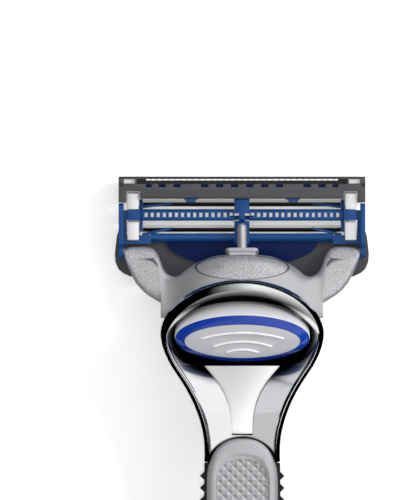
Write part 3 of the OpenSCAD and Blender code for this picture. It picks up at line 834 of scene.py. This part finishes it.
@dataclass
class Button:
    """The release button: carrier, silver skirt, blue band and satin face. Sizes are in millimetres.

    Attributes:
        maker: makes the visible pieces.
        tilt: slope of the button's face, in radians.
        middle: Y and Z of the middle of the skirt's top.
        ridge_from: height over that plane from which the face's ridges rise.
        edge: width of the softened edges.
        skirt_edge: the same on the skirt.
    """

    maker: Maker
    tilt: float = math.radians(22)
    middle: Pair = (45.075, 16.908)
    ridge_from: float = 1.5
    edge: float = 0.05
    skirt_edge: float = 0.06

    def _is_ridge(self, spot: Vector, facing: Vector) -> bool:
        """Says if a point of the face, in millimetres, stands above its flat."""
        y, z = spot.y - self.middle[0], spot.z - self.middle[1]
        return z * math.cos(self.tilt) - y * math.sin(self.tilt) > self.ridge_from

    def build(self) -> None:
        """Dresses the button's pieces and its return spring."""
        shell, at = self.maker.shell, Body.BUTTON
        shell("ejector_slider", at, Finishes.CORE, self.edge)
        shell("button_skirt", at, Finishes.SKIRT, self.skirt_edge, crease=40)
        shell("button_band", at, Finishes.BAND, edge=0.0)
        top = shell("button_face", at, Finishes.FACE, self.edge, crease=40)
        # the face's ridges get a painted highlight
        self.maker.paint(top, Finishes.RIDGE_PAINTED_HIGHLIGHT, self._is_ridge)
        spring = Spring(
            "ejector_spring", "button_slide", length=3.95, stroke=0.8, fixed=(0.0, 46.455, 11.9),
            push=(0.0, 1.0, 0.0),
        )
        spring.build(self.maker)


@dataclass
class Handle:
    """The chrome hoop, legs and spine with the pads and the rubber grip.

    Attributes:
        maker: makes the visible pieces.
    """

    maker: Maker

    def build(self) -> None:
        """Dresses the handle's pieces, each with its own width of softened edge in millimetres."""
        shell, at = self.maker.shell, Body.HANDLE
        # the chrome frame gets painted shade round the button recess and the finger pad
        shell("handle_frame", at, Finishes.CHROME, edge=0.08, crease=40)
        shell("finger_pad", at, Finishes.PAD, edge=0.05, crease=30)
        shell("thumb_pad", at, Finishes.RUBBER, edge=0.08)
        shell("spine_inlay", at, Finishes.PAD, edge=0.1)
        shell("grip_sleeve", at, Finishes.RUBBER, edge=0.0)
        shell("tail_cap", at, Finishes.TAIL_CHROME, edge=0.1, crease=50)


# ---------------------------------------------------------------- studio


@dataclass(frozen=True)
class Card:
    """A curved card that only reflections see, given as a patch of a dome around the razor.

    Attributes:
        azimuth: where it starts and ends, in degrees from +X.
        elevation: its lowest and its highest elevation, in degrees.
        brightness: 0 is black and 1 is white.
    """

    azimuth: Pair
    elevation: Pair
    brightness: float


@dataclass(frozen=True)
class Lamp:
    """A lamp over the razor.

    Attributes:
        name: its name.
        kind: the kind of lamp.
        place: where it hangs, in metres.
        size: its angle in radians for a sun, or its side in metres.
        power: its strength.
    """

    name: str
    kind: LampKind
    place: Triple
    size: float
    power: float


def graded(azimuth: Pair, elevation: Pair, count: int, power: float = 1.5) -> tuple[Card, ...]:
    """Makes a row of cards that step from black to white.

    Args:
        azimuth: where the row starts, at black, and where it ends, at white.
        elevation: the lowest and the highest elevation.
        count: number of cards.
        power: bends the steps, so that above 1 the dark end is longer.

    Returns:
        The cards.
    """
    step = (azimuth[1] - azimuth[0]) / count
    turns = [(azimuth[0] + step * i, azimuth[0] + step * (i + 1)) for i in range(count)]
    return tuple(Card(turn, elevation, ((i + 0.5) / count) ** power) for i, turn in enumerate(turns))


@dataclass
class Studio:
    """Floor, reflection cards, lamps and the camera over the razor's back.

    Attributes:
        frame_px: width and height of the photograph.
        px_per_mm: its scale.
        pivot_px: where the cartridge's pivot lies in it.
        pivot_y: where the pivot lies along Y, in millimetres.
        sensor: width of the camera's sensor, in millimetres.
        height: how high the camera hangs, in metres.
        level: height at which the photograph's scale holds, in metres.
        far_clip: how far the camera sees, in metres.
        world_colour: colour of the world.
        world_strength: its brightness.
        floor_half: half side of the floor, in metres.
        floor_colour: its colour.
        floor_roughness: its roughness.
        floor_z: its height, just under the razor, in metres.
        card_radius: radius of the dome that the cards lie on, in metres.
        cards_behind: how far the dome's middle lies behind the pivot, in metres.
        card_grid: number of faces up and along a card.
        cards: the cards.
        floor_card_from: Y at which the black card over the floor starts, in metres.
        floor_card_z: its height, between the floor and the razor, in metres.
        lamps: one straight above that lights the floor through the gaps, and two soft ones.
        aim: where the lamps point, in metres.
    """

    frame_px: tuple[int, int] = (418, 500)
    px_per_mm: float = 5.876
    pivot_px: Pair = (242.0, 252.0)
    pivot_y: float = 59.575
    sensor: float = 36.0
    height: float = 1.2
    level: float = 0.006
    far_clip: float = 10.0
    world_colour: Triple = (0.9, 0.91, 0.92)
    world_strength: float = 0.78
    floor_half: float = 1.5
    floor_colour: Triple = (0.9, 0.9, 0.9)
    floor_roughness: float = 0.8
    floor_z: float = -0.0002
    card_radius: float = 0.5
    cards_behind: float = 0.02
    card_grid: tuple[int, int] = (8, 24)
    cards: tuple[Card, ...] = (
        Card((150, 236), (0, 64), 0.0),
        Card((107, 150), (0, 40), 0.0),
        *graded((107, 84), (0, 40), 16),
        Card((78, 84), (0, 40), 1.0),
        Card((-90, 90), (64, 89), 0.97),
        Card((120, 240), (64, 89), 0.6),
        Card((20, 78), (4, 64), 1.0),
        Card((-62, 20), (0, 38), 0.01),
        Card((236, 298), (0, 24), 0.03),
    )
    floor_card_from: float = 0.0
    floor_card_z: float = -0.0001
    lamps: tuple[Lamp, ...] = (
        Lamp("overhead", LampKind.SUN, (0.0, 0.03, 1.0), 0.06, 1.4),
        Lamp("key", LampKind.AREA, (0.5, 0.24, 0.38), 0.3, 4.0),
        Lamp("fill", LampKind.AREA, (-0.5, 0.1, 0.6), 0.5, 0.3),
    )
    aim: Triple = (0.0, 0.03, 0.01)

    def build(self) -> None:
        """Builds the whole studio."""
        scene = bpy.context.scene
        scene.view_settings.view_transform = "Standard"
        self._world(scene)
        self._floor()
        self._cards()
        for lamp in self.lamps:
            self._hang(lamp)
        self._camera(scene)

    def _stand(self, name: str, data: bpy.types.ID, place: Triple) -> bpy.types.Object:
        """Adds an object to the scene as part of the stage.

        Args:
            name: its name.
            data: its mesh, lamp or camera.
            place: where it stands, in metres.

        Returns:
            The object.
        """
        made = bpy.data.objects.new(name, data)
        made.location = place
        bpy.context.scene.collection.objects.link(made)
        return made

    @staticmethod
    def _square(half: float) -> bmesh.types.BMesh:
        """Shapes a flat square.

        Args:
            half: half its side, in metres.

        Returns:
            The square round the origin.
        """
        bm = bmesh.new()
        bmesh.ops.create_grid(bm, x_segments=1, y_segments=1, size=half)
        return bm

    @staticmethod
    def _keep(bm: bmesh.types.BMesh, name: str, finish: bpy.types.Material) -> bpy.types.Mesh:
        """Turns a shape into a mesh with one material.

        Args:
            bm: the shape, which is freed.
            name: the mesh's name.
            finish: its material.

        Returns:
            The mesh.
        """
        mesh = bpy.data.meshes.new(name)
        bm.to_mesh(mesh)
        bm.free()
        mesh.materials.append(finish)
        return mesh

    def _world(self, scene: bpy.types.Scene) -> None:
        """Gives the world a plain pale grey.

        Args:
            scene: the scene that gets it.
        """
        world = bpy.data.worlds.new("studio_world")
        world.use_nodes = True
        back = world.node_tree.nodes["Background"]
        back.inputs["Color"].default_value = (*self.world_colour, 1)
        back.inputs["Strength"].default_value = self.world_strength
        scene.world = world

    def _floor(self) -> None:
        """Lays a pale floor just under the razor."""
        mat = bpy.data.materials.new("floor_pale")
        mat.use_nodes = True
        shader = mat.node_tree.nodes["Principled BSDF"]
        shader.inputs["Base Color"].default_value = (*self.floor_colour, 1)
        shader.inputs["Roughness"].default_value = self.floor_roughness
        mesh = self._keep(self._square(self.floor_half), "floor", mat)
        self._stand("floor", mesh, (0, 0, self.floor_z))

    def _cards(self) -> None:
        """Stands the cards round the razor, and lays one black card over the floor under its head."""
        centre = (0, self.pivot_y * MM - self.cards_behind, 0)
        for i, card in enumerate(self.cards):
            self._card(self._patch(card), f"card_{i}", centre, card.brightness)
        place = (0, self.card_radius + self.floor_card_from, self.floor_card_z)
        self._card(self._square(self.card_radius), "card_floor", place, 0.0)

    def _patch(self, card: Card) -> bmesh.types.BMesh:
        """Shapes a card by spinning an arc.

        Args:
            card: the patch of the dome that it covers.

        Returns:
            The patch round the origin.
        """
        bm = bmesh.new()
        rows, columns = self.card_grid
        low, high = (math.radians(a) for a in card.elevation)
        start, end = (math.radians(a) for a in card.azimuth)
        turn = Matrix.Rotation(start, 4, "Z")
        arc = []
        for k in range(rows + 1):
            rise = low + (high - low) * k / rows
            spot = Vector((math.cos(rise), 0, math.sin(rise))) * self.card_radius
            arc.append(bm.verts.new(turn @ spot))
        rods = [bm.edges.new(pair) for pair in zip(arc, arc[1:])]
        bmesh.ops.spin(
            bm, geom=arc + rods, cent=(0, 0, 0), axis=(0, 0, 1), angle=end - start, steps=columns,
            use_merge=False,
        )
        return bm

    def _card(self, bm: bmesh.types.BMesh, name: str, place: Triple, glow: float) -> None:
        """Turns a shape into a card that only reflections see.

        Args:
            bm: the card's shape, which is freed.
            name: the card's name.
            place: where it stands, in metres.
            glow: its brightness.
        """
        card = self._stand(name, self._keep(bm, name, self._emitter(name, glow)), place)
        for ray in ("camera", "diffuse", "shadow", "transmission", "volume_scatter"):
            setattr(card, f"visible_{ray}", False)

    @staticmethod
    def _emitter(name: str, strength: float) -> bpy.types.Material:
        """Makes a material that shows as a plain brightness.

        Args:
            name: the material's name.
            strength: 0 is black and 1 is white.

        Returns:
            The material.
        """
        mat = bpy.data.materials.new(name)
        mat.use_nodes = True
        nodes, links = mat.node_tree.nodes, mat.node_tree.links
        nodes.clear()
        glow, out = nodes.new("ShaderNodeEmission"), nodes.new("ShaderNodeOutputMaterial")
        glow.inputs["Strength"].default_value = strength
        links.new(glow.outputs[0], out.inputs["Surface"])
        return mat

    def _hang(self, lamp: Lamp) -> None:
        """Hangs a lamp that reflections don't show.

        Args:
            lamp: the lamp.
        """
        light = bpy.data.lights.new(lamp.name, lamp.kind.value)
        light.energy = lamp.power
        if lamp.kind is LampKind.SUN:
            light.angle = lamp.size
        else:
            light.size = lamp.size
        hung = self._stand(lamp.name, light, lamp.place)
        hung.rotation_mode = "QUATERNION"
        hung.rotation_quaternion = (Vector(self.aim) - Vector(lamp.place)).to_track_quat("-Z", "Y")
        hung.visible_glossy = False

    def _camera(self, scene: bpy.types.Scene) -> None:
        """Puts a long lens straight over the cartridge's back, framed as the photograph is.

        Args:
            scene: the scene that gets the camera.
        """
        wide, tall = self.frame_px
        cam = bpy.data.cameras.new("camera")
        view_height = tall / self.px_per_mm * MM
        cam.sensor_width = self.sensor
        cam.lens = self.sensor * (self.height - self.level) / view_height
        cam.clip_end = self.far_clip
        x = (wide / 2 - self.pivot_px[0]) / self.px_per_mm
        y = self.pivot_y - (tall / 2 - self.pivot_px[1]) / self.px_per_mm
        scene.camera = self._stand("camera", cam, (x * MM, y * MM, self.height))


def main() -> None:
    """Builds the razor's looks and the studio."""
    logging.basicConfig(level=logging.INFO)
    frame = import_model()
    maker = Maker(frame)
    for part in (Cartridge(maker), Yoke(maker), Button(maker), Handle(maker)):
        part.build()
        log.info("built %s", type(part).__name__)
    Studio().build()


if __name__ == "__main__":
    main()
